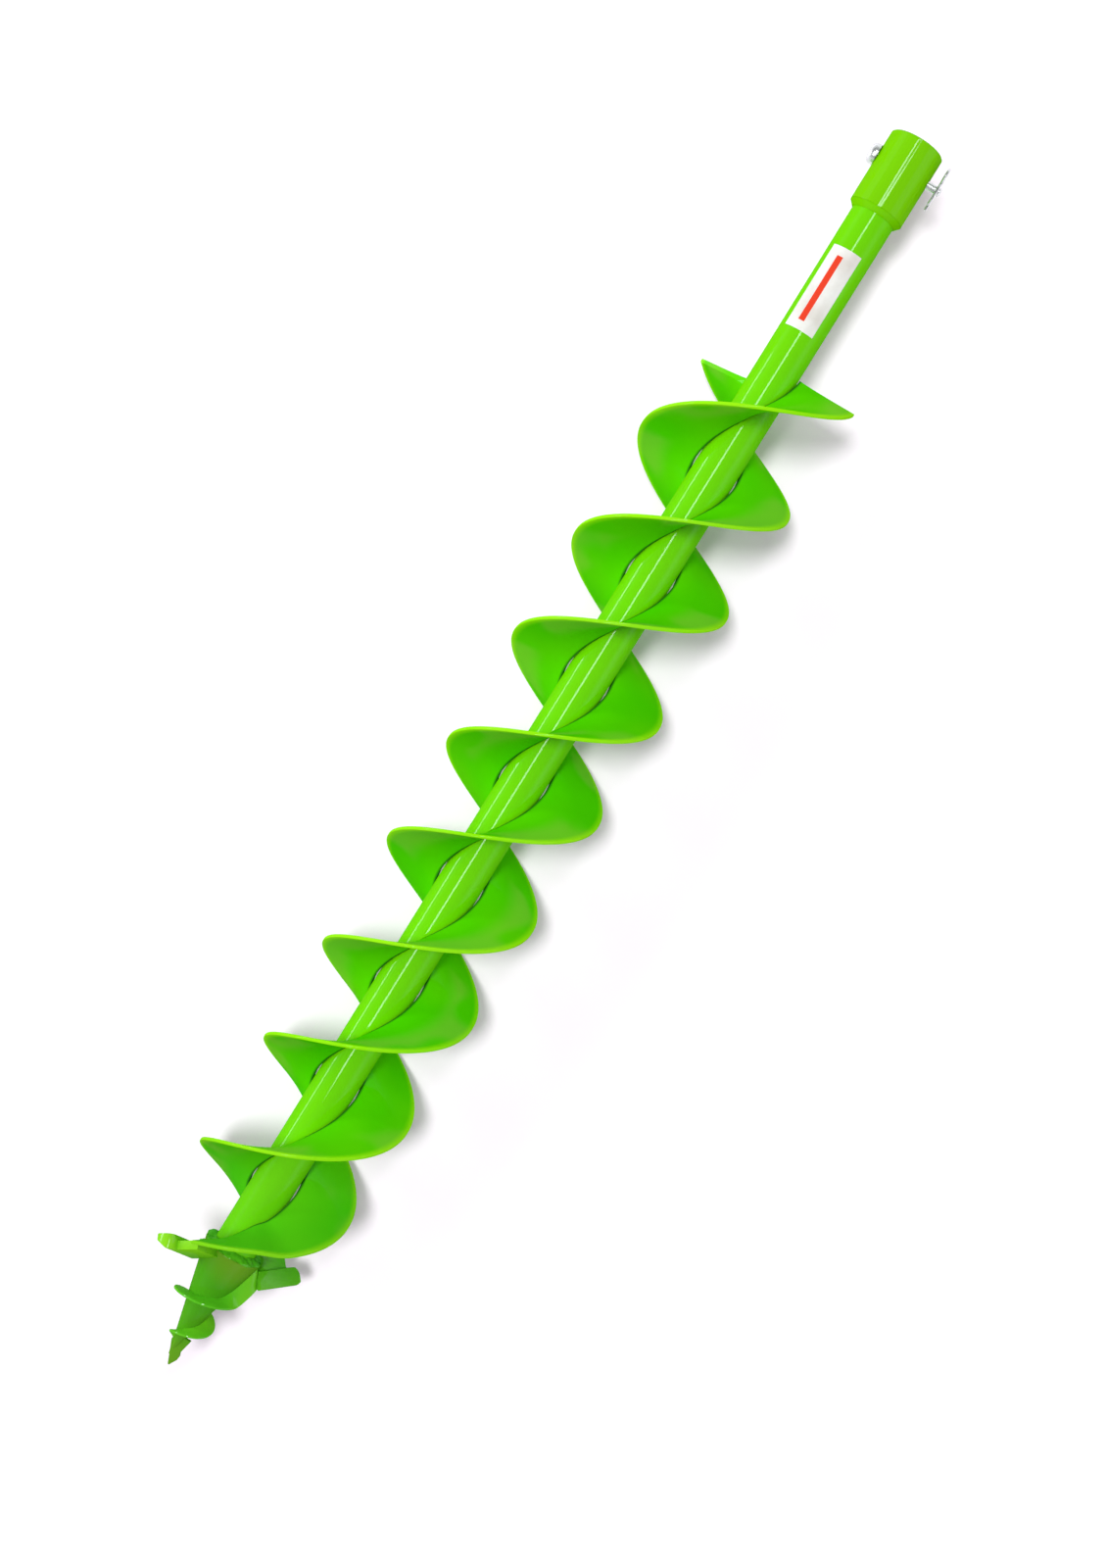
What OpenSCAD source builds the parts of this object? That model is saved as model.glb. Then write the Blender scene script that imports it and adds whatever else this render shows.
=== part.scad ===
// Earth auger drill bit: a steel tube with two opposed right-hand flights, a drive
// socket at the top end, and two cutting teeth and a screw pilot at the digging end.
// The axis lies along X: the mouth of the drive socket is at x = 0 and the pilot's tip
// points towards -X. Angles turn from +Y towards +Z.

/* [Overall] */
// Length from the pilot's tip to the mouth of the drive socket
overall_len = 800; // [700:5:1200]

/* [Tube] */
// Outside diameter of the central tube
tube_d = 25.5; // [24:0.5:32]
// Wall of the central tube
tube_wall = 2.5; // [1.5:0.25:4]

/* [Drive socket] */
// Outside diameter of the drive socket
socket_d = 32; // [30:0.5:44]
// Length of the drive socket
socket_len = 42.5; // [34:0.5:80]
// Bore for the drive shaft
bore_d = 20; // [18:0.1:22]
// Depth that the tube goes into the back of the socket
tube_seat = 10; // [5:0.5:14]
// Chamfer at the mouth of the socket
mouth_chamfer = 0.8; // [0.2:0.1:1.5]
// Leg of the ring weld behind the socket
socket_weld_leg = 3.5; // [2:0.25:5]

/* [Clevis pin and clip] */
// Distance from the mouth to the axis of the pin
pin_x = 15.5; // [12:0.5:20]
// Diameter of the pin's shank
pin_d = 5; // [4:0.25:7]
// Diameter of the pin's head
pin_head_d = 12; // [9:0.5:16]
// Height of the pin's head
pin_head_h = 5; // [3:0.25:8]
// Radius of the head's rounded outer edge
pin_head_round = 3; // [1:0.25:3]
// Length of the shank past the far side of the socket
pin_tail = 8.5; // [7:0.25:14]
// Play of the pin in its hole, on the diameter
pin_play = 0.4; // [0.2:0.05:0.6]
// Diameter of the clip's wire
clip_wire = 1.7; // [1.4:0.1:2.2]
// Overall length of the clip
clip_len = 25; // [20:0.5:36]
// Distance from the far side of the socket to the clip
clip_offset = 6; // [4:0.25:6.5]
// Play of the clip's straight leg in the pin's cross hole, on the diameter
clip_play = 0.3; // [0.15:0.05:0.4]

/* [Flights] */
// Diameter over the flights
flight_d = 98; // [90:0.5:160]
// Rise of a flight in one turn
flight_pitch = 134.25; // [120:0.25:160]
// Thickness of the flights' plate
flight_t = 2; // [1.5:0.25:4]
// Slit between the tube and the inner edge of a flight
root_gap = 0.7; // [0.3:0.1:1.2]
// Distance from the tip to the start of the first flight, before it is raised
flight_1_start = 80.1; // [79:0.1:86]
// Angle at which the first flight starts
flight_1_angle = 66.5; // [66.5:0.5:75]
// Distance from the mouth to the top end of the first flight
flight_1_top = 143.4; // [120:0.2:200]
// Distance from the tip to the start of the second flight, before it is raised
flight_2_start = 75.1; // [75.1:0.1:80]
// Angle at which the second flight starts
flight_2_angle = 241; // [241:0.5:250]
// Distance from the mouth to the top end of the second flight
flight_2_top = 155.5; // [120:0.2:200]
// Height that the start of the first flight is raised to its tooth
flight_1_rise = 3.2; // [2:0.1:4]
// Height that the start of the second flight is raised to its tooth
flight_2_rise = 6.3; // [6.2:0.1:7]
// Angle over which the start of a flight stays raised
lead_hold = 35; // [25:1:60]
// Angle over which the raised start runs back to the helix
lead_fade = 30; // [25:1:60]
// Spacing of the tack welds along each flight's root, in degrees
tack_step = 180; // [90:30:360]
// Length of a tack weld, in degrees
tack_sweep = 18; // [10:1:30]
// Leg of a tack weld
tack_leg = 2.2; // [1.5:0.1:3]

/* [Pilot screw] */
// Length of the pilot from its tip to its back face
pilot_len = 77; // [70:0.5:78]
// Diameter of the pilot's cone at its back face
pilot_d = 36; // [34:0.5:38]
// Half angle of the pilot's cone
pilot_angle = 13.7; // [12:0.1:14]
// Length of the spigot inside the tube
spigot_len = 18; // [10:1:30]
// Play of the spigot in the tube, on the diameter
spigot_play = 0.3; // [0.1:0.05:0.5]
// Width of the chisel at the pilot's tip
chisel_w = 7; // [5:0.25:7.5]
// Distance of the chisel's point from the axis
chisel_offset = 2.8; // [0:0.2:3.4]
// Thickness of the chisel at the pilot's tip
chisel_t = 3; // [2:0.25:4]
// Rise of the pilot's thread in one turn
thread_pitch = 24; // [20:0.25:26]
// Angle through which the pilot's thread turns
thread_sweep = 607; // [560:1:640]
// Angle at which the thread ends, against the second tooth
thread_end_angle = 188; // [175:1:190]
// Height of the thread over the cone
thread_h = 8.8; // [6:0.2:10]
// Width of the thread at its crest
thread_crest = 1.6; // [1.2:0.1:2.5]
// Width of the thread where it meets the cone
thread_root = 4.5; // [3:0.25:6]
// Distance that the thread's end is bent towards the flights
thread_run_out = 10.25; // [8:0.25:14]
// Distance that the thread's end blends up the cone behind its crest
thread_blend = 11; // [6:0.5:12]
// Leg of the ring weld between the pilot and the tube
pilot_weld_leg = 2.75; // [1.5:0.25:2.75]

/* [Cutting teeth] */
// Diameter of the circle that the first tooth cuts
tooth_1_d = 100.5; // [98:0.5:104]
// Diameter of the circle that the second tooth cuts
tooth_2_d = 96; // [95:0.5:104]
// Thickness of a tooth's plate
tooth_t = 5; // [4:0.25:6]
// Width of a tooth from its cutting edge to its back edge
tooth_w = 24.5; // [20:0.5:25]
// Distance of the cutting edge in front of the tooth's middle line
tooth_lead = 24; // [20:0.5:24]
// Angle of a tooth's plate to the plane across the axis
tooth_rake = 37; // [30:0.5:40]
// Angle by which the outer end of a tooth lies further from the tip than its inner end
tooth_dish = 10.5; // [6:0.5:14]
// Angle by which the cutting edge falls back towards its outer end
tooth_sweep = 8; // [4:0.5:12]
// Width of the raised cutting strip along the front of a tooth
strip_w = 10; // [7:0.5:13]
// Height of the raised cutting strip over the plate
strip_h = 3; // [1.5:0.25:4]
// Length of the strip past the outer end of the plate
strip_reach = 7; // [4:0.5:9]
// Radius of the strip's rear outer corner
strip_corner = 5.5; // [2:0.25:6]
// Distance from the axis to the inner end of a tooth
tooth_inner = 14.5; // [13.5:0.25:17]
// Distance from the tip to the top of the first tooth at its outer end
tooth_1_x = 84.1; // [83:0.1:85]
// Angle of the first tooth's middle line
tooth_1_angle = 63.4; // [58:0.2:63.4]
// Distance from the tip to the top of the second tooth at its outer end
tooth_2_x = 85.2; // [84:0.1:86]
// Angle of the second tooth's middle line
tooth_2_angle = 234.2; // [229:0.2:234.2]

/* [Hidden] */
$fn = 96;

PAINT = "#55c80a";
ZINC = "#b9bdc2";

over = 1;                       // how far a cutter runs past what it cuts
hair = 0.05;                    // fit of a part that is seated and welded
tip_x = -overall_len;
tube_r = tube_d / 2;
tube_bore = tube_d - 2 * tube_wall;
tube_top = -socket_len + tube_seat;
pilot_back = tip_x + pilot_len;
flight_r = flight_d / 2;
flight_in = tube_r + root_gap;

function smooth(t) = let (u = min(max(t, 0), 1)) u * u * (3 - 2 * u);

// ---- shapes along the axis ----

module rod(x, length, d)
    translate([x, 0, 0]) rotate([0, 90, 0]) cylinder(d = d, h = length);

module taper(x, length, d1, d2)
    translate([x, 0, 0]) rotate([0, 90, 0]) cylinder(d1 = d1, d2 = d2, h = length);

// A triangular ring weld: its upright leg stands at x, its flat leg runs along the tube
module ring_weld(x, leg, rise, way)
    translate([x, 0, 0]) rotate([0, 90, 0])
        rotate_extrude()
            polygon([[tube_r, 0], [tube_r + rise, 0], [tube_r, way * leg]]);

// ---- swept strips: a list of equal rings of points, closed at both ends; seen along
// the sweep, each ring runs anticlockwise ----

module swept(rings) {
    n = len(rings[0]);
    last = len(rings) - 1;
    sides = [
        for (i = [0 : last - 1], k = [0 : n - 1])
            let (a = i * n + k, b = i * n + (k + 1) % n)
                each k < n / 2 ? [[a, b, b + n], [a, b + n, a + n]]
                               : [[a, b, a + n], [b, b + n, a + n]]
    ];
    ends = [[for (k = [n - 1 : -1 : 0]) k], [for (k = [0 : n - 1]) last * n + k]];
    polyhedron(points = [for (ring = rings) each ring], faces = concat(sides, ends));
}

function at(x, r, a) = [x, r * cos(a), r * sin(a)];

// ---- flights ----

flight_step = 5;                // degrees between two sections of a flight
tack_first = 270;               // angle of the first tack weld

// What sets a flight apart: its start along and around the axis, its rise and its top end
ONE = [flight_1_start, flight_1_angle, flight_1_rise, flight_1_top];
TWO = [flight_2_start, flight_2_angle, flight_2_rise, flight_2_top];

function flight_sweep(f) = (overall_len - f[0] - f[3]) * 360 / flight_pitch;

// Half the plate's thickness measured along the axis, at radius r
function helix_half(r) = flight_t / 2 * sqrt(1 + pow(flight_pitch / (2 * PI * r), 2));

half_in = helix_half(flight_in);
flight_mid = (flight_in + flight_r) / 2;
plate = [for (r = [flight_in, flight_mid, flight_r]) [r, helix_half(r)]];

// Middle of the plate along the axis, at the angle `turn` after the flight's start
function flight_x(f, turn) =
    tip_x + f[0] + flight_pitch * turn / 360
    + f[2] * (1 - smooth((turn - lead_hold) / lead_fade));

// A point on the upper (side = 1) or lower (side = -1) face of a flight
function on_flight(f, turn, r, side) =
    at(flight_x(f, turn) + side * lookup(r, plate), r, f[1] + turn);

module flight(f) {
    steps = ceil(flight_sweep(f) / flight_step);
    swept([for (i = [0 : steps])
        let (turn = flight_sweep(f) * i / steps)
            [on_flight(f, turn, flight_in, -1), on_flight(f, turn, flight_mid, -1),
             on_flight(f, turn, flight_r, -1), on_flight(f, turn, flight_r, 1),
             on_flight(f, turn, flight_mid, 1), on_flight(f, turn, flight_in, 1)]]);
}

module flight_1() color(PAINT) flight(ONE);

module flight_2() color(PAINT) flight(TWO);

// ---- tube and socket ----

module central_tube()
    color(PAINT)
        difference() {
            rod(pilot_back, tube_top - pilot_back, tube_d);
            rod(pilot_back - over, tube_top - pilot_back + 2 * over, tube_bore);
        }

module pin_hole(d)
    translate([-pin_x, 0, 0]) rotate([90, 0, 0])
        cylinder(d = d, h = 2 * socket_d, center = true);

module drive_socket()
    color(PAINT)
        difference() {
            union() {
                rod(-socket_len, socket_len - mouth_chamfer, socket_d);
                taper(-mouth_chamfer, mouth_chamfer, socket_d, socket_d - 2 * mouth_chamfer);
            }
            rod(-socket_len - over, socket_len + 2 * over, bore_d);
            rod(-socket_len - over, tube_seat + over, tube_d + 2 * hair);
            pin_hole(pin_d + pin_play);
        }

module socket_weld()
    color(PAINT)
        ring_weld(-socket_len, socket_weld_leg, socket_d / 2 - tube_r - hair, -1);

// ---- clevis pin and clip ----

clip_y = -socket_d / 2 - clip_offset;

module clevis_pin()
    color(ZINC)
        translate([-pin_x, 0, 0])
            difference() {
                rotate([90, 0, 0])
                    rotate_extrude()
                        polygon([
                            [0, -socket_d / 2 - pin_head_h],
                            for (a = [75 : -15 : 0])
                                [pin_head_d / 2 - pin_head_round * (1 - cos(a)),
                                 -socket_d / 2 - pin_head_h + pin_head_round * (1 - sin(a))],
                            [pin_head_d / 2, -socket_d / 2],
                            [pin_d / 2, -socket_d / 2],
                            [pin_d / 2, socket_d / 2 + pin_tail - 1],
                            [pin_d / 2 - 1, socket_d / 2 + pin_tail],
                            [0, socket_d / 2 + pin_tail]
                        ]);
                translate([0, clip_y, 0]) rotate([0, 90, 0])
                    cylinder(d = clip_wire + clip_play, h = 2 * pin_d, center = true);
            }

// Centre line of the clip in its own plane: the straight leg, the eye, and the sprung
// leg with its hump over the pin and its flared end
clip_ride = pin_d / 2 + clip_wire / 2 + 0.1;      // height of the hump's middle line
clip_low = clip_wire + 0.3;                       // height of the sprung leg beside it
clip_eye = 2.4 + clip_wire / 2;                   // radius of the eye's middle line
clip_back = clip_len * 0.48;                      // from the pin to the far end of the leg
clip_front = clip_len - clip_back - clip_wire / 2 - clip_eye;
clip_hump = 2 * pin_d;                            // width of the hump

function clip_height(x) =
    clip_low + (clip_ride - clip_low) * (0.5 + 0.5 * cos(min(abs(x) / clip_hump * 360, 180)))
    + 2 * smooth((-x - clip_hump / 2) / 6);

clip_path = concat(
    [[-clip_back, 0], [-clip_back / 2, 0], [0, 0], [clip_front / 2, 0]],
    [for (a = [-90 : 18 : 126])
        [clip_front + clip_eye * cos(a), clip_eye + clip_eye * sin(a)]],
    [for (t = [0 : 1 / 14 : 1.001])
        let (x = clip_front * 0.5 - t * (clip_front * 0.5 + clip_back * 0.8))
            [x, clip_height(x)]]
);

module wire(path, d, sides) {
    n = len(path);
    swept([for (i = [0 : n - 1])
        let (a = path[max(i - 1, 0)], b = path[min(i + 1, n - 1)],
             v = (b - a) / norm(b - a))
            [for (k = [0 : sides - 1])
                let (w = d / 2 * cos(360 * k / sides), s = d / 2 * sin(360 * k / sides))
                    [path[i][0] - v[1] * w, s, path[i][1] + v[0] * w]]]);
}

module r_clip()
    color(ZINC)
        translate([-pin_x, clip_y, 0]) wire(clip_path, clip_wire, 10);

// ---- pilot screw ----

thread_step = 5;                // degrees between two sections of the thread
thread_back = 24;               // from the pilot's back face to the thread's unbent end
thread_bend = 28;               // degrees over which the thread's end is bent
chisel_root = 18;               // from the tip to the chisel's end inside the cone
cone_slope = tan(pilot_angle);
cone_r = pilot_d / 2;

function cone_radius(x) = max(cone_r - (pilot_back - x) * cone_slope, 0);

function thread_ring(turn) =
    let (left = thread_sweep - turn,
         a = thread_end_angle - left,
         x = pilot_back - thread_back - thread_pitch * left / 360
             + thread_run_out * smooth(1 - left / thread_bend),
         r = cone_radius(x),
         h = thread_h * (0.15 + 0.85 * smooth((turn + 15) / 240)),
         root = thread_root * (0.6 + 0.4 * smooth(turn / 200)),
         back = min(x + root / 2 + thread_blend * smooth(1 - left / (2 * thread_bend)),
                    pilot_back - 1),
         front = x - root / 2)
        [at(front, max(cone_radius(front) - 1.5, 0.2), a), at(x - thread_crest / 2, r + h, a),
         at(x + thread_crest / 2, r + h, a), at(back, max(cone_radius(back) - 1.5, 0.2), a)];

module pilot_thread() {
    steps = ceil(thread_sweep / thread_step);
    swept([for (i = [0 : steps]) thread_ring(thread_sweep * i / steps)]);
}

module pilot_body() {
    point = pilot_back - cone_r / cone_slope;
    taper(point + 2, pilot_back - point - 2, 4 * cone_slope, pilot_d);
    translate([tip_x, 0, 0])
        linear_extrude(height = chisel_t, center = true)
            polygon([
                [0, 0.4 - chisel_offset], [0, -0.4 - chisel_offset],
                [chisel_w * 0.7, -chisel_w * 0.42 - chisel_offset],
                [chisel_w, -chisel_w * 0.46 - chisel_offset],
                [chisel_w * 1.3, -chisel_w * 0.33 - chisel_offset],
                [chisel_root, -chisel_w], [chisel_root, 0],
                [chisel_w * 2, chisel_w * 0.5]
            ]);
    pilot_thread();
}

module pilot_screw()
    color(PAINT) {
        pilot_body();
        rod(pilot_back - over, spigot_len + over, tube_bore - spigot_play);
    }

module pilot_weld()
    color(PAINT)
        ring_weld(pilot_back, pilot_weld_leg, cone_r - tube_r, 1);

// ---- cutting teeth ----

tooth_front = tooth_lead * cos(tooth_rake);       // cutting edge's lead across the axis

function tooth_out(d) = sqrt(pow(d / 2, 2) - pow(tooth_front, 2));

// Places children in a tooth's own frame, whose origin lies at its outer end on top:
// x away from the tip, y outwards and z back from the cutting edge
module tooth_frame(x, angle, d)
    translate([tip_x + x, 0, 0]) rotate([angle, 0, 0]) translate([0, tooth_out(d), 0])
        rotate([0, tooth_rake, 0]) rotate([0, 0, -tooth_dish])
            children();

// Section across the cutting edge: the raised strip in front, the plate behind it, and
// the face below the edge cut back square to the axis
module tooth_section() {
    back = tooth_w - tooth_lead;
    relief = tooth_t / tan(tooth_rake);
    rotate([tooth_sweep, 0, 0]) rotate([90, 0, 0])
        linear_extrude(height = 2 * tooth_1_d, center = true)
            polygon([
                [0, -tooth_lead], [strip_h, -tooth_lead],
                [strip_h, strip_w - tooth_lead], [0, strip_w - tooth_lead + 1],
                [0, back], [-tooth_t, back], [-tooth_t, relief - tooth_lead]
            ]);
}

// Outline seen from the top: the strip's nose reaches past the plate's outer end
module tooth_outline(d) {
    edge = -tooth_lead;
    rear = strip_w - tooth_lead;
    nose = 1.5;
    inner = -(tooth_out(d) - tooth_inner) / cos(tooth_dish);
    rotate([90, 0, 90])
        linear_extrude(height = 4 * tooth_t, center = true)
            polygon(concat(
                [[inner, 2 * edge], [-nose, 2 * edge]],
                [for (a = [-90 : 30 : 0]) [nose * cos(a) - nose, edge + nose + nose * sin(a)]],
                [for (a = [0 : 15 : 90])
                    [strip_corner * cos(a) - strip_corner,
                     rear - strip_corner + strip_corner * sin(a)]],
                [[-strip_reach, rear], [-strip_reach, tooth_w], [inner, tooth_w]]
            ));
}

module tooth_plate(x, angle, d)
    tooth_frame(x, angle, d)
        intersection() {
            tooth_section();
            tooth_outline(d);
        }

// What a tooth is fitted against
module tooth_seat() {
    pilot_body();
    ring_weld(pilot_back, pilot_weld_leg, cone_r - tube_r, 1);
}

module cutting_tooth_1()
    color(PAINT)
        difference() {
            tooth_plate(tooth_1_x, tooth_1_angle, tooth_1_d);
            tooth_seat();
        }

module cutting_tooth_2()
    color(PAINT)
        difference() {
            tooth_plate(tooth_2_x, tooth_2_angle, tooth_2_d);
            tooth_seat();
        }

// ---- welds ----

weld_gap = 0.02;                // keeps the welds' facets out of what they lie on

// A tack weld fills the slit at a flight's root and lies in the corner above it
module tack(f, middle) {
    rings = 6;
    swept([for (i = [0 : rings])
        let (turn = middle + tack_sweep * (i / rings - 0.5),
             leg = 0.3 + (tack_leg - 0.3) * sin(180 * i / rings),
             x = flight_x(f, turn), a = f[1] + turn, r = tube_r + weld_gap,
             lift = [weld_gap, 0, 0])
            [at(x - half_in / 2, r, a), at(x - half_in / 2, flight_in - weld_gap, a),
             at(x + half_in + weld_gap, flight_in - weld_gap, a),
             on_flight(f, turn, flight_in + leg, 1) + lift,
             at(x + half_in + leg, r, a)]]);
}

module tacks(f)
    for (a = [tack_first + (f[1] > 180 ? 180 : 0) : tack_step :
              f[1] + flight_sweep(f) - tack_sweep])
        tack(f, a - f[1]);

module flight_welds()
    color(PAINT) {
        tacks(ONE);
        tacks(TWO);
    }

central_tube();
drive_socket();
socket_weld();
clevis_pin();
r_clip();
pilot_screw();
pilot_weld();
cutting_tooth_1();
cutting_tooth_2();
flight_1();
flight_2();
flight_welds();
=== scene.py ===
import bpy, math
from mathutils import Matrix, Vector


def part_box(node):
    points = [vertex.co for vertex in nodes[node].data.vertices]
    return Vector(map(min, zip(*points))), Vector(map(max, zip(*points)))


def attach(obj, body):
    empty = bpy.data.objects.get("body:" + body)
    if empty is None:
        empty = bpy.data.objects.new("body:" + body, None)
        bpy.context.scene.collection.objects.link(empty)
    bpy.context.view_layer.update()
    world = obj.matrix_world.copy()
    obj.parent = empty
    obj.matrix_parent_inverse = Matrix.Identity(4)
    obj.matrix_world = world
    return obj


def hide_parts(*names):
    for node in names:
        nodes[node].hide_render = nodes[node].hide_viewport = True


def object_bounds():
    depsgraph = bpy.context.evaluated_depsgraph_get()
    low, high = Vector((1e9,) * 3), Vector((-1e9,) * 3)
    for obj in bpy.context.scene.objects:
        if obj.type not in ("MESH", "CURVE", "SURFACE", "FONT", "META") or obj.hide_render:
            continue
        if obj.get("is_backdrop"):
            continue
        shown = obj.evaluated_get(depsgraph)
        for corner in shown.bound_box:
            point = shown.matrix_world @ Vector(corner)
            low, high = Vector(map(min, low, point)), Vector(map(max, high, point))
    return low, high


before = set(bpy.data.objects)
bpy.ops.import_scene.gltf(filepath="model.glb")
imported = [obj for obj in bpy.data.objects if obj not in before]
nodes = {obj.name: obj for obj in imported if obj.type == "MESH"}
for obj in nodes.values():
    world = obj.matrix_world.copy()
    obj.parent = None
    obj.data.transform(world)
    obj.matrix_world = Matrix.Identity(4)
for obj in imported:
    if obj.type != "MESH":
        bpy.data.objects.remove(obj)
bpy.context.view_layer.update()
bpy.ops.object.select_all(action="DESELECT")

# Earth auger drill bit. It lies along X, with the pilot's tip at the low end and the mouth of
# the drive socket at x = 0. Lengths are in metres, written as millimetres times MM. Angles
# round the axis are in degrees, from +Y towards +Z.
MM = 0.001
HAIR = 0.01 * MM  # points closer together than this are one point

# ================= sizes, as in the frame =================

tube_low, tube_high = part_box("central_tube")
socket_low, socket_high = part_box("drive_socket")
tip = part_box("pilot_screw")[0].x
LENGTH = 800 * MM
TUBE_R = tube_high.z

# flights
FLIGHT_R = 49 * MM
ROOT_GAP = 0.7 * MM
FLIGHT_IN = TUBE_R + ROOT_GAP
PITCH = 134.25 * MM
PLATE = 2 * MM
RIM_ROUND = 0.55 * MM
LEAD_HOLD, LEAD_FADE = 35, 30  # turn over which a lead stays raised, and then runs back

# pilot
PILOT_BACK = tip + 77 * MM
CONE_R = 18 * MM
CONE_SLOPE = math.tan(math.radians(13.7))
CONE_CUT = 2 * MM  # the cone starts this far behind its apex
CHISEL_W, CHISEL_T, CHISEL_OFF, CHISEL_ROOT = 7 * MM, 3 * MM, 2.8 * MM, 18 * MM
POINT_HALF = 0.4 * MM  # half the width of the chisel's point
THREAD_TURN, THREAD_END, THREAD_BEND = 607, 188, 28  # whole turn, last angle, turn of its bend
THREAD_PITCH = 24 * MM
THREAD_BACK = 24 * MM  # from the pilot's back face to the thread's end before its bend
THREAD_RUN_OUT, THREAD_BLEND = 10.25 * MM, 11 * MM
THREAD_H, THREAD_ROOT, THREAD_CREST = 8.8 * MM, 4.5 * MM, 1.6 * MM
THREAD_SINK = 1.5 * MM  # the ridge's foot lies this deep in the cone

# teeth: the edges before and behind the middle line, and for each tooth its distance after
# the tip, its angle and its reach from the axis
TOOTH_RAKE, TOOTH_DISH, TOOTH_SWEEP = math.radians(37), math.radians(10.5), math.radians(8)
TOOTH_LEAD, TOOTH_BACK = 24 * MM, 0.5 * MM
TOOTH_ONE = (84.1 * MM, 63.4, 50.25 * MM)
TOOTH_TWO = (85.2 * MM, 234.2, 48 * MM)

# label: its ends along the tube, its sides and its band's middle round it, and its film
LABEL_LOW, LABEL_HIGH = -120.2 * MM, -69.9 * MM
LABEL_FIRST, LABEL_LAST, LABEL_MIDDLE = 40, 123, 75
LABEL_GAP, LABEL_THICK = 0.06 * MM, 0.14 * MM
BAND_HALF_LENGTH, BAND_HALF_WIDTH = 20 * MM, 1.8 * MM


# ================= modelling helpers =================

def active(name):
    """Names the piece that was just added."""
    piece = bpy.context.active_object
    piece.name = name
    piece.data.name = name
    return piece


def take_up(piece):
    """Makes a piece the selected and active one."""
    piece.select_set(True)
    bpy.context.view_layer.objects.active = piece


def edit_mode(kind="VERT"):
    bpy.ops.object.mode_set(mode="EDIT")
    bpy.ops.mesh.select_mode(type=kind)


def object_mode():
    bpy.ops.object.mode_set(mode="OBJECT")


def pick(piece, kind, test):
    """In edit mode: selects the vertices, or the edges by their two ends, that pass the test."""
    bpy.ops.mesh.select_mode(type=kind)
    bpy.ops.mesh.select_all(action="DESELECT")
    object_mode()
    mesh = piece.data
    if kind == "VERT":
        for v in mesh.vertices:
            v.select = test(v.co)
    else:
        for e in mesh.edges:
            e.select = test(*(mesh.vertices[i].co for i in e.vertices))
    edit_mode(kind)


def apply_place():
    """Moves the selected piece's place, turn and scale into its mesh."""
    bpy.ops.object.transform_apply(location=True, rotation=True, scale=True)


def apply_modifiers(piece):
    bpy.context.view_layer.objects.active = piece
    for m in list(piece.modifiers):
        bpy.ops.object.modifier_apply(modifier=m.name)


def outward():
    """In edit mode: merges doubles and turns every face outwards."""
    bpy.ops.mesh.select_all(action="SELECT")
    bpy.ops.mesh.remove_doubles(threshold=HAIR)
    bpy.ops.mesh.normals_make_consistent(inside=False)


def finish_piece(piece, angle):
    """Shades a piece smooth, but for edges sharper than the angle, and lets go of it."""
    object_mode()
    bpy.ops.object.shade_smooth_by_angle(angle=math.radians(angle))
    piece.select_set(False)


def dress(piece, material, slot, *stands_for):
    """Gives a piece its material (None leaves its own) and its body, and hides the nodes it stands
    for; slot is not used.
    """
    if material:
        piece.data.materials.clear()
        piece.data.materials.append(material)
    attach(piece, "root")
    if stands_for:
        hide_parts(*stands_for)


def ring_cuts(*places):
    """In edit mode: cuts rings round a long piece near its ends, so that rounding stays there."""
    for x in places:
        bpy.ops.mesh.select_all(action="SELECT")
        bpy.ops.mesh.bisect(plane_co=(x, 0, 0), plane_no=(1, 0, 0))


def merged_copy(node, name, width, segments=3, angle=30, cuts=()):
    """A copy of a CAD node with its triangles joined and its sharp edges rounded."""
    bpy.ops.object.select_all(action="DESELECT")
    piece = nodes[node].copy()
    piece.data = nodes[node].data.copy()
    # what marks the node as part of the frame stays with the node
    for key in list(piece.keys()):
        del piece[key]
    piece.parent = None
    piece.name = name
    piece.data.name = name
    bpy.context.scene.collection.objects.link(piece)
    take_up(piece)
    edit_mode()
    outward()
    bpy.ops.mesh.dissolve_limited(angle_limit=math.radians(0.4))
    ring_cuts(*cuts)
    object_mode()
    if width:
        edge = piece.modifiers.new("rounded_edges", "BEVEL")
        edge.width = width
        edge.segments = segments
        edge.limit_method = "ANGLE"
        edge.angle_limit = math.radians(angle)
        apply_modifiers(piece)
    finish_piece(piece, angle)
    return piece


def carry_over(node, name, material, slot, width, **rounding):
    """A CAD node whose shape is right, as a merged copy in its own material."""
    dress(merged_copy(node, name, width, **rounding), material, slot, node)


def loft(name, rings):
    """A grid laid out ring by ring, its seam joined and both ends filled."""
    across, along = len(rings[0]), len(rings)
    bpy.ops.mesh.primitive_grid_add(x_subdivisions=across, y_subdivisions=along - 1, size=1)
    piece = active(name)
    for i in range(along):
        for k in range(across + 1):
            piece.data.vertices[i * (across + 1) + k].co = rings[i][k % across]
    edit_mode()
    bpy.ops.mesh.select_all(action="SELECT")
    bpy.ops.mesh.remove_doubles(threshold=HAIR / 2)
    bpy.ops.mesh.select_mode(type="EDGE")
    bpy.ops.mesh.select_all(action="DESELECT")
    bpy.ops.mesh.select_non_manifold()
    bpy.ops.mesh.fill_holes(sides=across)
    outward()
    object_mode()
    return piece


def smooth(t):
    """Goes from 0 to 1 with t, and eases in and out."""
    t = min(max(t, 0), 1)
    return t * t * (3 - 2 * t)


def at(x, r, a):
    """A point at distance r from the axis, at angle a."""
    return Vector((x, r * math.cos(math.radians(a)), r * math.sin(math.radians(a))))


# ================= node helpers =================

def feed(tree, node, values):
    """Fills inputs of a node: each with a number or colour, or from another node's output."""
    for key, value in values.items():
        if isinstance(value, bpy.types.NodeSocket):
            tree.links.new(value, node.inputs[key])
        else:
            node.inputs[key].default_value = value


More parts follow.
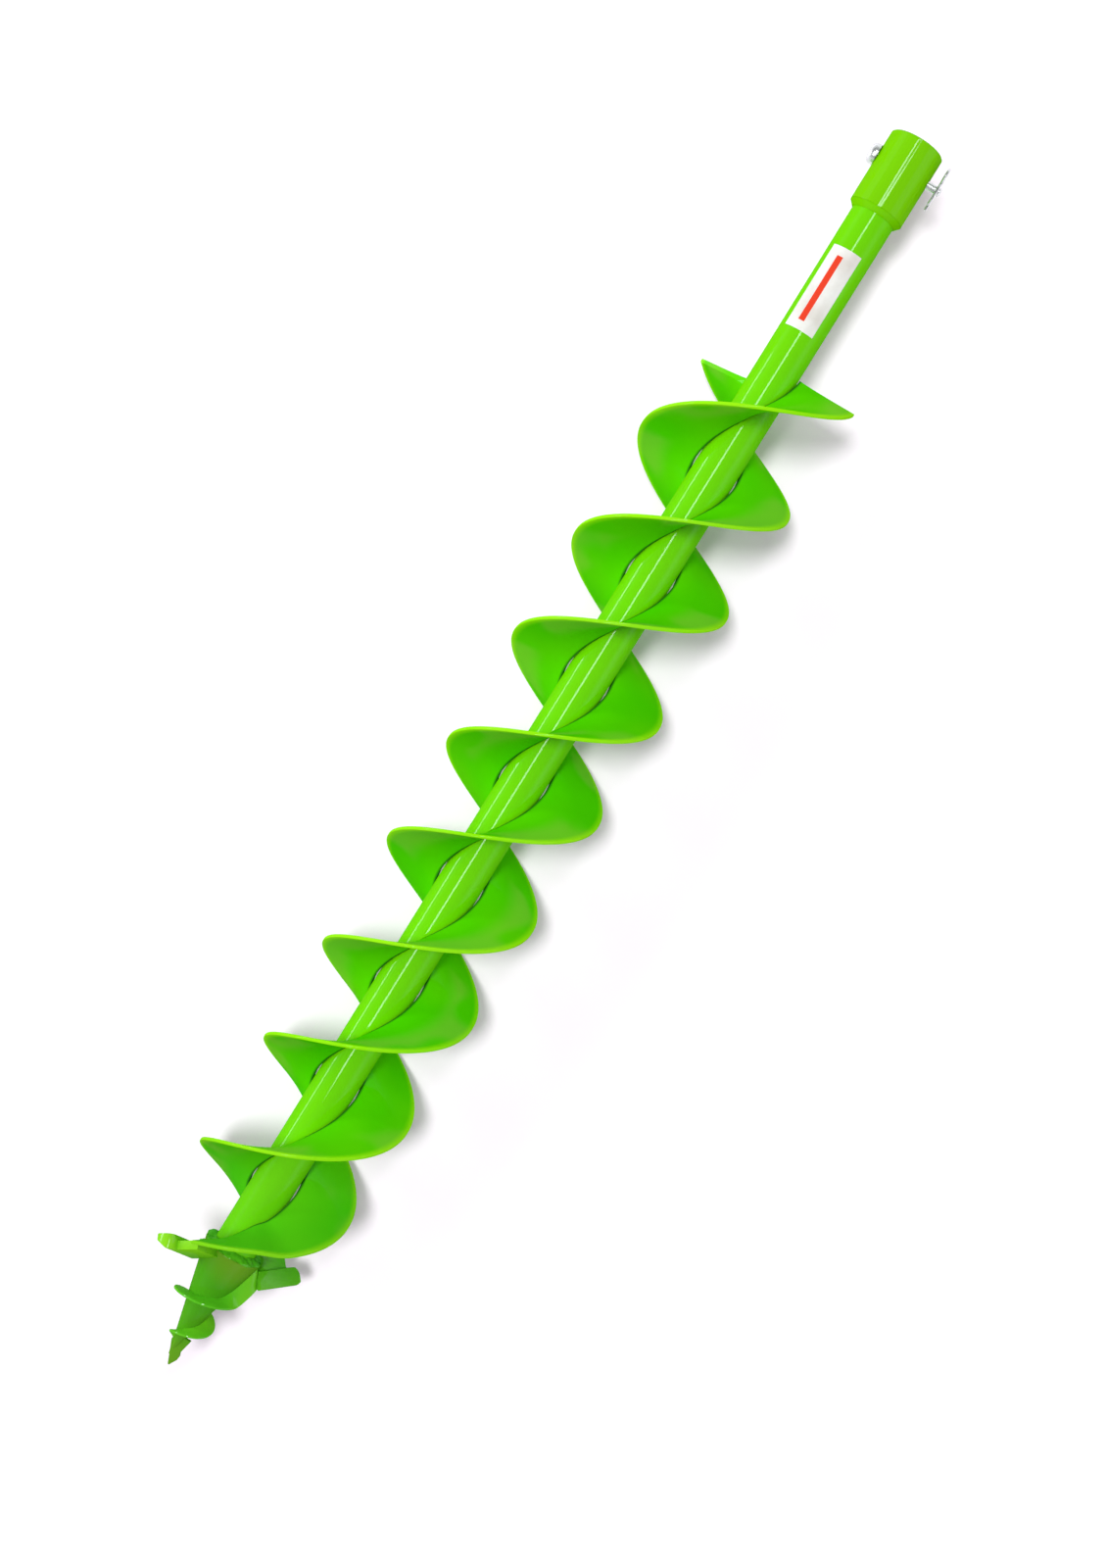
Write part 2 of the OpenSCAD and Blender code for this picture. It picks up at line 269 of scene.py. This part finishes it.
def object_place(tree):
    """Where a point of the piece lies, in the frame's own metres."""
    return tree.nodes.new("ShaderNodeTexCoord").outputs["Object"]


def separate(tree, place):
    """The X, Y and Z of a place, by those names."""
    node = tree.nodes.new("ShaderNodeSeparateXYZ")
    feed(tree, node, {0: place})
    return node.outputs


def noise(tree, place, scale, detail):
    node = tree.nodes.new("ShaderNodeTexNoise")
    feed(tree, node, {"Vector": place, "Scale": scale, "Detail": detail})
    return node.outputs["Fac"]


def maths(tree, operation, *values):
    """Works out one sum; each value is a number or another node's output."""
    node = tree.nodes.new("ShaderNodeMath")
    node.operation = operation
    feed(tree, node, dict(enumerate(values)))
    return node.outputs[0]


def remap(tree, value, low, high, start=0, end=1, kind="SMOOTHSTEP"):
    """Goes from start to end while the value goes from low to high."""
    node = tree.nodes.new("ShaderNodeMapRange")
    node.interpolation_type = kind
    feed(tree, node, {"Value": value, "From Min": low, "From Max": high,
                      "To Min": start, "To Max": end})
    return node.outputs["Result"]


def blend(tree, factor, first, second):
    """The first colour where the factor is 0 and the second where it is 1."""
    node = tree.nodes.new("ShaderNodeMix")
    node.data_type = "RGBA"
    node.clamp_factor = True
    # its sockets for colours have the same names as those for numbers, so they go by place
    feed(tree, node, {"Factor": factor, 6: first, 7: second})
    return node.outputs[2]


def two_tones(tree, value, low, high, first, second):
    """The first colour where the value is under low, the second where it is over high."""
    node = tree.nodes.new("ShaderNodeValToRGB")
    stops = node.color_ramp.elements
    stops[0].position, stops[0].color = low, first
    stops[1].position, stops[1].color = high, second
    feed(tree, node, {"Fac": value})
    return node.outputs["Color"]


def bump(tree, height, strength, distance):
    node = tree.nodes.new("ShaderNodeBump")
    feed(tree, node, {"Height": height, "Strength": strength, "Distance": distance})
    return node.outputs["Normal"]


# ================= materials =================

LIME = (0.30, 0.78, 0.005, 1)  # yellower green for the rim line, partly thin paint and partly a painted highlight
# a paler green that paints soft reflections on the flights
REFLECTION_GREEN = (0.15, 0.545, 0.022, 1)
# a deeper green towards the digging end, partly painted shade
DEEP_GREEN = (0.03, 0.22, 0.02, 1)
# a dark green that paints the shade in the crease
CREASE_SHADE_GREEN = (0.004, 0.09, 0.006, 1)
BAND_RED = (0.72, 0.045, 0.015, 1)


def paint_group():
    """Sprayed gloss paint: slow change of tone, orange peel, a yellower rim that is partly thin
    paint and partly a painted highlight, painted reflections towards the rim, painted shade in the
    crease, and a darker digging end that is partly painted shade.
    """
    tree = bpy.data.node_groups.new("paint_surface", "ShaderNodeTree")
    for name, kind, start in (
            ("Base", "NodeSocketColor", (0.15, 0.68, 0.0, 1)),
            ("Yellower Tone", "NodeSocketColor", (0.3, 0.8, 0.01, 1)),
            ("Rim", "NodeSocketFloat", 1.0),
            ("Rim Width", "NodeSocketFloat", 0.1),
            ("Mottle", "NodeSocketFloat", 0.2),
            ("Roughness", "NodeSocketFloat", 0.3),
            ("Peel", "NodeSocketFloat", 0.1),
            ("Deep", "NodeSocketFloat", 1.0),
            ("Painted Reflections", "NodeSocketFloat", 0.0),
            ("Crease", "NodeSocketFloat", 0.0)):
        socket = tree.interface.new_socket(name=name, in_out="INPUT", socket_type=kind)
        socket.default_value = start
    for name, kind in (("Color", "NodeSocketColor"), ("Roughness", "NodeSocketFloat"),
                       ("Normal", "NodeSocketVector")):
        tree.interface.new_socket(name=name, in_out="OUTPUT", socket_type=kind)
    given = tree.nodes.new("NodeGroupInput").outputs
    place = object_place(tree)
    xyz = separate(tree, place)
    slow = noise(tree, place, 14, 2)
    fine = noise(tree, place, 260, 3)
    peel = noise(tree, place, 620, 1)
    off_axis = maths(tree, "SQRT", maths(tree, "ADD", maths(tree, "MULTIPLY", xyz["Y"], xyz["Y"]),
                                         maths(tree, "MULTIPLY", xyz["Z"], xyz["Z"])))

    # painted reflections: paler patches towards the rim stand for soft reflections
    painted_reflection = maths(tree, "MULTIPLY", remap(tree, noise(tree, place, 23, 1), 0.46, 0.58),
                  remap(tree, off_axis, 25 * MM, 38 * MM))
    color = blend(tree, maths(tree, "MULTIPLY", painted_reflection, given["Painted Reflections"]),
                  given["Base"], REFLECTION_GREEN)
    # a lime line on the rim itself, partly thin paint and partly a painted highlight, and a slow
    # change of tone everywhere
    rim_start = maths(tree, "SUBTRACT", FLIGHT_R, given["Rim Width"])
    rim = maths(tree, "MULTIPLY", remap(tree, off_axis, rim_start, FLIGHT_R), given["Rim"])
    tone = maths(tree, "MULTIPLY", maths(tree, "SUBTRACT", slow, 0.4), given["Mottle"])
    color = blend(tree, maths(tree, "ADD", rim, tone), color, given["Yellower Tone"])
    # a deeper, cooler green towards the digging end, partly painted shade
    low_end = remap(tree, xyz["X"], tip + 70 * MM, tip + 190 * MM, 0.5, 0)
    color = blend(tree, maths(tree, "MULTIPLY", low_end, given["Deep"]), color, DEEP_GREEN)
    # painted shade: a dark line in the crease where the flights meet the tube
    crease = remap(tree, off_axis, TUBE_R + 0.9 * MM, TUBE_R + 2.5 * MM, 1, 0)
    color = blend(tree, maths(tree, "MULTIPLY", crease, given["Crease"]), color, CREASE_SHADE_GREEN)

    feed(tree, tree.nodes.new("NodeGroupOutput"), {
        "Color": color,
        "Roughness": maths(tree, "MULTIPLY_ADD", fine, 0.06, given["Roughness"]),
        "Normal": bump(tree, maths(tree, "ADD", peel, fine), given["Peel"], 0.1 * MM)})
    return tree


PAINT_GROUP = paint_group()


def new_material(name):
    """A material, with its nodes and its shader."""
    material = bpy.data.materials.new(name)
    material.use_nodes = True
    return material, material.node_tree, material.node_tree.nodes["Principled BSDF"]


def green_paint(name, base, yellower_tone, roughness, peel, coat, rim=0.0, rim_width=10 * MM,
                mottle=0.15, deep=0.0, painted_reflections=0.0, crease=0.0):
    """Green paint under a clear coat that is strongest where it faces the viewer."""
    material, tree, shader = new_material(name)
    surface = tree.nodes.new("ShaderNodeGroup")
    surface.node_tree = PAINT_GROUP
    feed(tree, surface, {
        "Base": base, "Yellower Tone": yellower_tone, "Roughness": roughness, "Peel": peel, "Rim": rim,
        "Rim Width": rim_width, "Mottle": mottle, "Deep": deep, "Painted Reflections": painted_reflections,
        "Crease": crease})
    facing = tree.nodes.new("ShaderNodeLayerWeight")
    feed(tree, facing, {"Blend": 0.5})
    gloss = remap(tree, facing.outputs["Facing"], 0.08, 0.36, coat, coat * 0.06)
    feed(tree, shader, {
        "Base Color": surface.outputs["Color"], "Roughness": surface.outputs["Roughness"],
        "Normal": surface.outputs["Normal"], "Specular IOR Level": 0,
        "Coat Weight": gloss, "Coat Roughness": 0.05, "Coat IOR": 1.8})
    return material


# One paint covers the flights, tube and socket: their different bases are painted light and shade,
# the tube's and socket's yellower, lighter tone standing for reflections.
paint_flight = green_paint(
    "green_gloss_paint_flights", (0.062, 0.56, 0.0, 1), LIME,
    roughness=0.35, peel=0.05, coat=0.12, rim=0.7, rim_width=4.5 * MM, mottle=0.6,
    deep=0.65, painted_reflections=0.85, crease=0.9)
paint_tube = green_paint(
    "green_gloss_paint_tube", (0.142, 0.60, 0.001, 1), LIME,
    roughness=0.30, peel=0.03, coat=0.42, deep=0.4)
paint_socket = green_paint(
    "green_gloss_paint_socket", (0.165, 0.55, 0.0, 1), LIME,
    roughness=0.30, peel=0.04, coat=0.42)
paint_cast = green_paint(
    "green_paint_pilot", (0.064, 0.33, 0.008, 1), (0.13, 0.31, 0.012, 1),
    roughness=0.36, peel=0.2, coat=0.4, mottle=5)
paint_thread = green_paint(
    "green_paint_thread", (0.09, 0.47, 0.012, 1), (0.26, 0.66, 0.012, 1),
    roughness=0.32, peel=0.6, coat=0.6, mottle=4)
paint_tooth = green_paint(
    "green_paint_teeth", (0.12, 0.50, 0.01, 1), (0.24, 0.64, 0.012, 1),
    roughness=0.34, peel=0.25, coat=0.5, rim=0.5, rim_width=14 * MM, mottle=3)
# the teeth's paint made darker for the second tooth: painted shade
paint_shaded_second_tooth = green_paint(
    "green_paint_second_tooth_shaded", (0.07, 0.39, 0.01, 1), (0.17, 0.50, 0.012, 1),
    roughness=0.34, peel=0.3, coat=0.5, mottle=4)
paint_weld = green_paint(
    "green_paint_over_weld", (0.10, 0.52, 0.0, 1), LIME,
    roughness=0.28, peel=0.3, coat=0.25)
# the welds' paint made darker for the lumpy bead at the pilot: painted shade, where it lies under
# the flights' leads
paint_lumps_shaded = green_paint(
    "green_paint_over_lumpy_weld_shaded", (0.04, 0.33, 0.02, 1), (0.12, 0.50, 0.01, 1),
    roughness=0.32, peel=0.5, coat=0.8, mottle=4)
paint_socket_weld = green_paint(
    "green_paint_socket_weld", (0.165, 0.56, 0.0, 1), LIME,
    roughness=0.30, peel=0.1, coat=0.1)


def zinc_plating():
    """Bright plating with small cloudy cells."""
    material, tree, shader = new_material("bright_zinc_plating")
    cells = noise(tree, object_place(tree), 300, 4)
    feed(tree, shader, {
        "Base Color": two_tones(tree, cells, 0.38, 0.62,
                                (0.68, 0.71, 0.72, 1), (0.86, 0.89, 0.90, 1)),
        "Roughness": remap(tree, cells, 0, 1, 0.18, 0.34, kind="LINEAR"),
        "Metallic": 0.8,
        "Normal": bump(tree, cells, 0.1, 0.2 * MM)})
    return material


def label_film():
    """White film, a little dusty, with one plain printed band along its middle."""
    material, tree, shader = new_material("white_label_film")
    place = object_place(tree)
    xyz = separate(tree, place)
    film_color = two_tones(tree, noise(tree, place, 60, 5), 0.3, 0.6,
                           (0.66, 0.63, 0.59, 1), (0.80, 0.80, 0.78, 1))
    turn = maths(tree, "ARCTAN2", xyz["Z"], xyz["Y"])
    off_middle = maths(tree, "ABSOLUTE", maths(tree, "SUBTRACT", turn, math.radians(LABEL_MIDDLE)))
    off_centre = maths(tree, "ABSOLUTE",
                       maths(tree, "SUBTRACT", xyz["X"], (LABEL_LOW + LABEL_HIGH) / 2))
    band = maths(tree, "MULTIPLY", maths(tree, "LESS_THAN", off_middle, BAND_HALF_WIDTH / TUBE_R),
                 maths(tree, "LESS_THAN", off_centre, BAND_HALF_LENGTH))
    feed(tree, shader, {"Base Color": blend(tree, band, film_color, BAND_RED),
                        "Roughness": 0.38, "Specular IOR Level": 0.3})
    return material


zinc = zinc_plating()
film = label_film()


# ================= pieces =================

def plate_half(r):
    """Half the flight plate's thickness, measured along the axis, at radius r."""
    return PLATE / 2 * math.sqrt(1 + (PITCH / (2 * math.pi * r)) ** 2)


def pick_section(piece, turn, level):
    """In edit mode: selects a flight's section, at its turn and its level along the axis."""
    c, s = math.cos(math.radians(turn)), math.sin(math.radians(turn))
    reach = 2.2 * MM  # a little more than half of the section's thickest place
    pick(piece, "VERT", lambda co: abs(co.z * c - co.y * s) < HAIR
         and co.y * c + co.z * s > 0 and abs(co.x - level) < reach)


def flight(name, node, start, angle, rise, top):
    """A plate's section swept with Screw, its lead raised to its tooth, its rims rounded.

    start is its distance after the tip and top its distance before the mouth, angle is where
    it begins round the axis, and rise is how far its lead is raised.
    """
    sweep = (LENGTH - start - top) / PITCH * 360
    steps = math.ceil(sweep / 3)  # one for each 3 degrees
    rows = 9
    span = FLIGHT_R - FLIGHT_IN
    near = span / rows / 3
    bpy.ops.mesh.primitive_grid_add(x_subdivisions=1, y_subdivisions=rows - 1, size=1)
    piece = active(name)
    edit_mode()
    # lay the section out between root and rim, in the XY plane
    bpy.ops.transform.resize(value=(1, span, 1))
    bpy.ops.transform.translate(value=(0, FLIGHT_IN + span / 2, 0))
    for k in range(rows):
        y = FLIGHT_IN + span * k / (rows - 1)
        pick(piece, "VERT", lambda co: abs(co.y - y) < near)
        bpy.ops.transform.resize(value=(2 * plate_half(y), 1, 1), center_override=(0, y, 0))
    pick(piece, "VERT", lambda co: co.y > FLIGHT_R - near)
    bpy.ops.mesh.bevel(offset=RIM_ROUND, segments=3, affect="VERTICES", profile=0.5)
    # keep only its outline
    bpy.ops.mesh.select_all(action="SELECT")
    bpy.ops.mesh.delete(type="ONLY_FACE")
    pick(piece, "EDGE", lambda a, b: a.x * b.x < 0 and FLIGHT_IN + HAIR < a.y < FLIGHT_R - HAIR)
    bpy.ops.mesh.delete(type="EDGE")
    object_mode()
    screw = piece.modifiers.new("helix", "SCREW")
    screw.axis = "X"
    screw.angle = math.radians(sweep)
    screw.screw_offset = sweep / 360 * PITCH
    screw.steps = screw.render_steps = steps
    apply_modifiers(piece)
    # raise the lead, section by section
    edit_mode()
    for i in range(math.ceil((LEAD_HOLD + LEAD_FADE) / sweep * steps) + 1):
        turn = i * sweep / steps
        pick_section(piece, turn, i / steps * sweep / 360 * PITCH)
        lift = rise * (1 - smooth((turn - LEAD_HOLD) / LEAD_FADE))
        bpy.ops.transform.translate(value=(lift, 0, 0))
    # close both ends
    for turn, level in ((0, rise), (sweep, sweep / 360 * PITCH)):
        pick_section(piece, turn, level)
        bpy.ops.mesh.edge_face_add()
    outward()
    bpy.ops.mesh.select_all(action="SELECT")
    bpy.ops.transform.translate(value=(tip + start, 0, 0))
    object_mode()
    piece.rotation_euler = (math.radians(angle), 0, 0)
    apply_place()
    finish_piece(piece, 40)
    dress(piece, paint_flight, "green_paint", node)


def cone_radius(x):
    return max(CONE_R - (PILOT_BACK - x) * CONE_SLOPE, 0)


def grown(turn, first, over):
    """A share that grows from its first value to 1 while the thread turns."""
    return first + (1 - first) * smooth(turn / over)


def thread():
    """The pilot's thread: a tapered ridge with a rounded crest, run out at the second tooth."""
    rings = []
    steps = 200
    round_r = THREAD_CREST / 2
    for i in range(steps + 1):
        turn = THREAD_TURN * i / steps
        left = THREAD_TURN - turn
        x = (PILOT_BACK - THREAD_BACK - THREAD_PITCH * left / 360
             + THREAD_RUN_OUT * smooth(1 - left / THREAD_BEND))
        # the ridge gains height and width over its first turn, height a little ahead
        height = THREAD_H * grown(turn + 15, first=0.15, over=240)
        root = THREAD_ROOT * grown(turn, first=0.6, over=200)
        front = x - root / 2
        back = min(x + root / 2 + THREAD_BLEND * smooth(1 - left / THREAD_BEND / 2),
                   PILOT_BACK - 1 * MM)
        low, high = (Vector((foot, max(cone_radius(foot) - THREAD_SINK, 0.2 * MM)))
                     for foot in (front, back))
        lip = cone_radius(x) + height - round_r
        lip_low, lip_high = Vector((x - round_r, lip)), Vector((x + round_r, lip))
        section = [low.lerp(lip_low, t) for t in (0, 0.35, 0.7)] + [lip_low]
        section += [Vector((x - round_r * math.cos(math.radians(b)),
                            lip + round_r * math.sin(math.radians(b)))) for b in (45, 90, 135)]
        section += [lip_high] + [lip_high.lerp(high, t) for t in (0.3, 0.65, 1)]
        rings.append([at(p.x, p.y, THREAD_END - left) for p in section])
    return loft("thread", rings)


def chisel_point():
    """The flat point forged on the cone's end: its outline, drawn out to its thickness."""
    w, off = CHISEL_W, CHISEL_OFF
    outline = ((0, POINT_HALF - off), (w * 2, w * 0.5), (CHISEL_ROOT, 0), (CHISEL_ROOT, -w),
               (w * 1.3, -w * 0.33 - off), (w, -w * 0.46 - off), (w * 0.7, -w * 0.42 - off),
               (0, -POINT_HALF - off))
    piece = loft("chisel", [[(tip + x, y, z) for x, y in outline]
                            for z in (-CHISEL_T / 2, CHISEL_T / 2)])
    edit_mode("FACE")
    bpy.ops.mesh.select_all(action="SELECT")
    bpy.ops.mesh.bevel(offset=0.3 * MM, segments=3)
    outward()
    object_mode()
    return piece


def pilot():
    """Cone, thread and forged chisel point, joined to one piece."""
    apex = PILOT_BACK - CONE_R / CONE_SLOPE
    length = PILOT_BACK - apex - CONE_CUT
    bpy.ops.mesh.primitive_cone_add(
        vertices=128, radius1=CONE_CUT * CONE_SLOPE, radius2=CONE_R, depth=length,
        location=(apex + CONE_CUT + length / 2, 0, 0), rotation=(0, math.pi / 2, 0))
    cone = active("pilot")
    apply_place()
    edit_mode("EDGE")
    ring_cuts(PILOT_BACK - 1.5 * MM)
    pick(cone, "EDGE", lambda a, b: min(a.x, b.x) > PILOT_BACK - HAIR)
    bpy.ops.mesh.bevel(offset=0.6 * MM, segments=3)
    outward()
    object_mode()
    cone.select_set(False)
    chisel = chisel_point()
    ridge = thread()
    for part, paint in ((chisel, paint_cast), (ridge, paint_thread), (cone, paint_cast)):
        part.data.materials.append(paint)
        part.select_set(True)
    bpy.context.view_layer.objects.active = cone
    bpy.ops.object.join()
    finish_piece(cone, 40)
    dress(cone, None, "green_paint", "pilot_screw")


def from_tooth(x, angle, radius, n, w, b):
    """A point of a tooth's own frame: n over its top face, w outwards, b back from its middle."""
    out = math.sqrt(radius ** 2 - (TOOTH_LEAD * math.cos(TOOTH_RAKE)) ** 2)
    over = n * math.cos(TOOTH_DISH) + w * math.sin(TOOTH_DISH)
    y = w * math.cos(TOOTH_DISH) - n * math.sin(TOOTH_DISH) + out
    z = b * math.cos(TOOTH_RAKE) - over * math.sin(TOOTH_RAKE)
    forward = over * math.cos(TOOTH_RAKE) + b * math.sin(TOOTH_RAKE)
    return at(tip + x + forward, math.hypot(y, z), angle + math.degrees(math.atan2(z, y)))


def weld_bead(name, points, width):
    """A bead along a line of points, thin at its ends, with the scales of a hand weld."""
    rings = []
    last, sides = len(points) - 1, 12
    for i, p in enumerate(points):
        along = (points[min(i + 1, last)] - points[max(i - 1, 0)]).normalized()
        side = along.cross(Vector((1, 0, 0))).normalized()
        up = side.cross(along)
        taper = min(1, 0.35 + 4 * min(i / last, 1 - i / last))
        scales = 1 + 0.13 * math.sin(i * 1.9)
        size = width * taper * scales
        turns = [2 * math.pi * k / sides for k in range(sides)]
        rings.append([p + side * size * math.cos(b) + up * size * math.sin(b) for b in turns])
    piece = loft(name, rings)
    finish_piece(piece, 60)
    dress(piece, paint_weld, "green_paint")


def tooth_beads():
    """The beads between the teeth and the raised leads of the flights, from the tube outwards."""
    first, second = [], []
    for millimetre in range(-33, -7):
        w = millimetre * MM
        b = TOOTH_BACK + w * math.tan(TOOTH_SWEEP)
        # the second bead drops below its tooth's face as it runs outwards
        level = 1.6 * MM - 0.235 * (w + 30 * MM)
        first.append(from_tooth(*TOOTH_ONE, 0.4 * MM, w, b + 0.5 * MM))
        second.append(from_tooth(*TOOTH_TWO, max(min(level, 0), -4 * MM), w, b + 0.8 * MM))
    weld_bead("tooth_bead_one", first, 1.5 * MM)
    weld_bead("tooth_bead_two", second, 1.6 * MM)


def tacks(node, name):
    """A row of weld tacks: the frame's beads, joined and rounded."""
    piece = merged_copy(node, name, 0)
    take_up(piece)
    soft = piece.modifiers.new("round", "SUBSURF")
    soft.levels = soft.render_levels = 2
    apply_modifiers(piece)
    finish_piece(piece, 60)
    dress(piece, paint_weld, "green_paint", node)


def lumpy_bead(node, name):
    """A heavy hand-laid bead: the frame's ring, divided and pushed in and out by small lumps."""
    piece = merged_copy(node, name, 0.7 * MM, segments=2, angle=20)
    take_up(piece)
    soft = piece.modifiers.new("round", "SUBSURF")
    soft.subdivision_type = "SIMPLE"
    soft.levels = soft.render_levels = 2
    lumps = bpy.data.textures.new("weld_lumps", "CLOUDS")
    lumps.noise_scale = 4.5 * MM
    lumps.noise_depth = 1
    push = piece.modifiers.new("lumps", "DISPLACE")
    push.texture = lumps
    push.texture_coords = "LOCAL"
    push.strength = 2.6 * MM
    push.mid_level = 0.4
    apply_modifiers(piece)
    finish_piece(piece, 70)
    dress(piece, paint_lumps_shaded, "green_paint", node)


def label():
    """A plain film with square corners, wrapped round the tube."""
    bpy.ops.mesh.primitive_grid_add(x_subdivisions=18, y_subdivisions=36, size=1)
    piece = active("tube_label")
    edit_mode()
    width = math.radians(LABEL_LAST - LABEL_FIRST) * TUBE_R
    bpy.ops.transform.resize(value=(LABEL_HIGH - LABEL_LOW, width, 1))
    object_mode()
    # the sheet's width becomes an arc round the tube
    for v in piece.data.vertices:
        a = (LABEL_FIRST + LABEL_LAST) / 2 - math.degrees(v.co.y / TUBE_R)
        v.co = at(v.co.x + (LABEL_LOW + LABEL_HIGH) / 2, TUBE_R + LABEL_GAP, a)
    edit_mode()
    outward()
    object_mode()
    skin = piece.modifiers.new("film", "SOLIDIFY")
    skin.thickness = LABEL_THICK
    skin.offset = 1
    apply_modifiers(piece)
    finish_piece(piece, 40)
    dress(piece, film, "label_film")


flight("flight_one", "flight_1", start=80.1 * MM, angle=66.5, rise=3.2 * MM, top=143.4 * MM)
flight("flight_two", "flight_2", start=75.1 * MM, angle=241, rise=6.3 * MM, top=155.5 * MM)
tacks("flight_welds", "flight_tacks")
tooth_beads()
carry_over("central_tube", "tube", paint_tube, "green_paint", 0.3 * MM,
           cuts=(tube_low.x + 1 * MM, tube_high.x - 1 * MM))
carry_over("drive_socket", "socket", paint_socket, "green_paint", 0.15 * MM,
           cuts=(socket_low.x + 1 * MM, socket_high.x - 1.5 * MM))
carry_over("socket_weld", "socket_bead", paint_socket_weld, "green_paint", 0.5 * MM, angle=25)
lumpy_bead("pilot_weld", "pilot_bead")
pilot()
carry_over("cutting_tooth_1", "tooth_one", paint_tooth, "green_paint", 0.5 * MM)
carry_over("cutting_tooth_2", "tooth_two", paint_shaded_second_tooth, "green_paint", 0.5 * MM)
carry_over("clevis_pin", "pin", zinc, "zinc_plate", 0.4 * MM)
carry_over("r_clip", "clip", zinc, "zinc_plate", 0)
label()


# ================= floor, light and camera =================

def stage():
    """A pale floor that glows a little for the viewer and for mirrors, so it reads as white."""
    low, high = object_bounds()
    middle = (low[0] + high[0]) / 2
    bpy.ops.object.select_all(action="DESELECT")
    bpy.ops.mesh.primitive_plane_add(size=12, location=(middle, 0, low[2]))
    floor = active("floor")
    apply_place()
    floor.select_set(False)
    material, tree, shader = new_material("pale_floor")
    place = object_place(tree)
    path = tree.nodes.new("ShaderNodeLightPath")
    seen = path.outputs["Is Camera Ray"]
    for ray in ("Is Glossy Ray", "Is Transmission Ray"):
        seen = maths(tree, "MAXIMUM", seen, path.outputs[ray])
    # the distance from the auger's middle, where a length along the auger counts a quarter
    quarter = 0.25
    squeeze = tree.nodes.new("ShaderNodeVectorMath")
    squeeze.operation = "MULTIPLY_ADD"
    feed(tree, squeeze, {0: place, 1: (quarter, 1, 0), 2: (-quarter * middle, 0, 0)})
    reach = tree.nodes.new("ShaderNodeVectorMath")
    reach.operation = "LENGTH"
    feed(tree, reach, {0: squeeze.outputs["Vector"]})
    near_glow, far_glow = (0.10, 0.05, 0.10, 1), (0.45, 0.45, 0.45, 1)
    glow = blend(tree, remap(tree, reach.outputs["Value"], 0.1, 0.22), near_glow, far_glow)
    pale = two_tones(tree, noise(tree, place, 3, 2), 0, 1,
                     (0.88, 0.84, 0.89, 1), (0.91, 0.87, 0.92, 1))
    feed(tree, shader, {"Base Color": pale, "Roughness": 0.9, "Specular IOR Level": 0.1,
                        "Emission Color": glow, "Emission Strength": seen})
    floor.data.materials.append(material)
    floor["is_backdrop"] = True


def strip(name, place, aim, energy, length, width, turn=0):
    """A long soft box along the auger, turned by `turn` degrees about the upright."""
    data = bpy.data.lights.new(name, "AREA")
    data.energy = energy
    data.shape = "RECTANGLE"
    data.size = length
    data.size_y = width
    box = bpy.data.objects.new(name, data)
    bpy.context.scene.collection.objects.link(box)
    box.location = place
    facing = (Vector(aim) - Vector(place)).to_track_quat("-Z", "Y").to_matrix()
    box.rotation_euler = (Matrix.Rotation(math.radians(turn), 3, "Z") @ facing).to_euler()


def sun(name, towards, strength, softness):
    """A far lamp that shines from the direction `towards`; mirrors show the soft boxes only."""
    data = bpy.data.lights.new(name, "SUN")
    data.energy = strength
    data.angle = math.radians(softness)
    far = bpy.data.objects.new(name, data)
    bpy.context.scene.collection.objects.link(far)
    far.rotation_euler = Vector(towards).to_track_quat("Z", "Y").to_euler()
    far.visible_glossy = False


def lights():
    """A key lamp and two soft boxes, in a room with pale walls and a dim ceiling."""
    world = bpy.data.worlds.new("studio")
    bpy.context.scene.world = world
    world.use_nodes = True
    tree = world.node_tree
    direction = tree.nodes.new("ShaderNodeTexCoord").outputs["Generated"]
    walls, ceiling = 0.9, 0.12
    strength = remap(tree, separate(tree, direction)["Z"], 0.2, 0.7, walls, ceiling)
    feed(tree, tree.nodes["Background"], {"Color": (1, 1, 1, 1), "Strength": strength})
    sun("key", towards=(0.04, 0.14, 1.0), strength=1.65, softness=13)
    strip("over_strip", (-0.16, 0.1, 1.5), aim=(-0.16, 0.02, 0), energy=9, length=1.7,
          width=0.2, turn=-13)
    strip("side_strip", (-0.5, 1.6, 0.46), aim=(-0.5, 0, 0), energy=9, length=1.3, width=0.2)


def camera():
    right = Vector((0.52642498, -0.84755594, -0.06726021))
    up = Vector((0.84782183, 0.52923286, -0.03330159))
    back = Vector((0.06382127, -0.03949389, 0.99717956))
    data = bpy.data.cameras.new("camera")
    data.sensor_fit = "VERTICAL"
    data.sensor_height = 36
    data.lens = 45.989
    data.clip_start = 0.01
    data.clip_end = 50
    view = bpy.data.objects.new("camera", data)
    bpy.context.scene.collection.objects.link(view)
    place = Matrix((right, up, back)).transposed().to_4x4()
    place.translation = Vector((-330.58, -58.66, 1115.83)) * MM
    view.matrix_world = place
    bpy.context.scene.camera = view


stage()
lights()
camera()
bpy.context.scene.view_settings.view_transform = "Standard"
